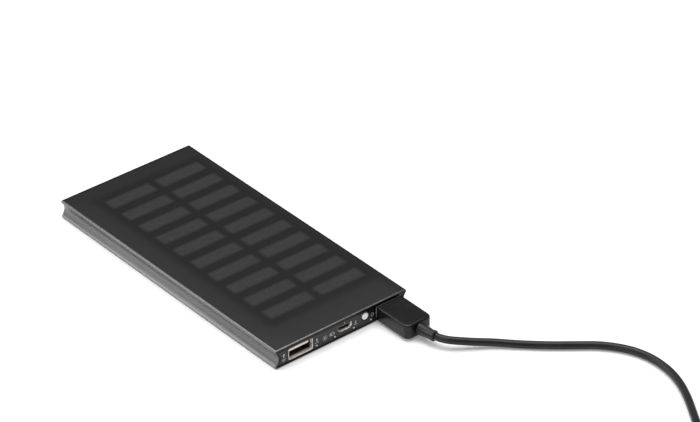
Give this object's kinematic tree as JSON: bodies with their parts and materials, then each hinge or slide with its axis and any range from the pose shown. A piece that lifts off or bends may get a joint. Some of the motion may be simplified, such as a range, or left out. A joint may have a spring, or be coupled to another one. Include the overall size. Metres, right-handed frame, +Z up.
{
  "type": "solar phone charger",
  "caption": "Flat portable battery charger in an aluminium case with solar cells under a top window, end sockets, a button, status lights and a plugged-in lead",
  "frame": {"origin": "middle of the case's underside", "axes": "+Y along the case away from the sockets, +X across it to the right as seen from the socket end, +Z up"},
  "size_m": [0.1554, 0.3805, 0.0094],
  "materials": {
    "body": "brushed gunmetal anodised",
    "window": "satin black",
    "panel_board": "matt black",
    "solar_cell": "dark silicon with fine fingers",
    "gloss_black": "gloss",
    "socket_metal": "nickel plated",
    "plug_metal": "nickel plated",
    "black_plastic": "moulded",
    "white_plastic": "moulded",
    "clear_plastic": "clear moulded",
    "circuit_board": "solder mask",
    "plain_metal": "plated",
    "battery_foil": "pouch foil",
    "red_wire": "insulation",
    "black_wire": "insulation",
    "plug_plastic": "satin moulded",
    "cord_rubber": "satin",
    "tie_fabric": "hook and loop tape"
  },
  "bodies": {
    "charger": {"body_shell": "body", "top_window": "window", "solar_board": "panel_board", "solar_string_left": "solar_cell", "solar_string_right": "solar_cell", "port_plate": "gloss_black", "rear_plate": "gloss_black", "usb_out_left_shell": "socket_metal", "usb_out_left_tongue": "white_plastic", "usb_out_right_shell": "socket_metal", "usb_out_right_tongue": "white_plastic", "micro_in_shell": "socket_metal", "micro_in_tongue": "black_plastic", "switch_body": "black_plastic", "light_guide": "clear_plastic", "led_1": "white_plastic", "led_2": "white_plastic", "led_3": "white_plastic", "led_4": "white_plastic", "main_board": "circuit_board", "inductor": "black_plastic", "output_capacitor": "plain_metal", "converter_chip": "black_plastic", "charger_chip": "black_plastic", "board_spacer_left": "plain_metal", "board_spacer_right": "plain_metal", "board_screw_left": "plain_metal", "board_screw_right": "plain_metal", "battery_tray": "black_plastic", "battery_left": "battery_foil", "battery_right": "battery_foil", "battery_board": "circuit_board", "battery_wire_red": "red_wire", "battery_wire_black": "black_wire", "solar_wire_red": "red_wire", "solar_wire_black": "black_wire"},
    "power_button": {"button_cap": "white_plastic", "switch_plunger": "black_plastic"},
    "lead": {"lead_plug_grip": "plug_plastic", "lead_plug_shell": "plug_metal", "lead_plug_insert": "white_plastic", "lead_boot": "cord_rubber", "lead_cord": "cord_rubber", "lead_coil": "cord_rubber", "coil_tie": "tie_fabric", "lead_tail": "cord_rubber", "micro_plug_boot": "cord_rubber", "micro_plug_grip": "plug_plastic", "micro_plug_shell": "plug_metal"}
  },
  "joints": [
    {"name": "button_press", "type": "slide", "parent": "charger", "child": "power_button", "axis": [0, 1, 0], "range_m": [0, 0.0003], "stiffness_N_per_m": 400},
    {"name": "lead_unplug", "type": "slide", "parent": "charger", "child": "lead", "axis": [0, -1, 0], "range_m": [0, 0.015]}
  ]
}
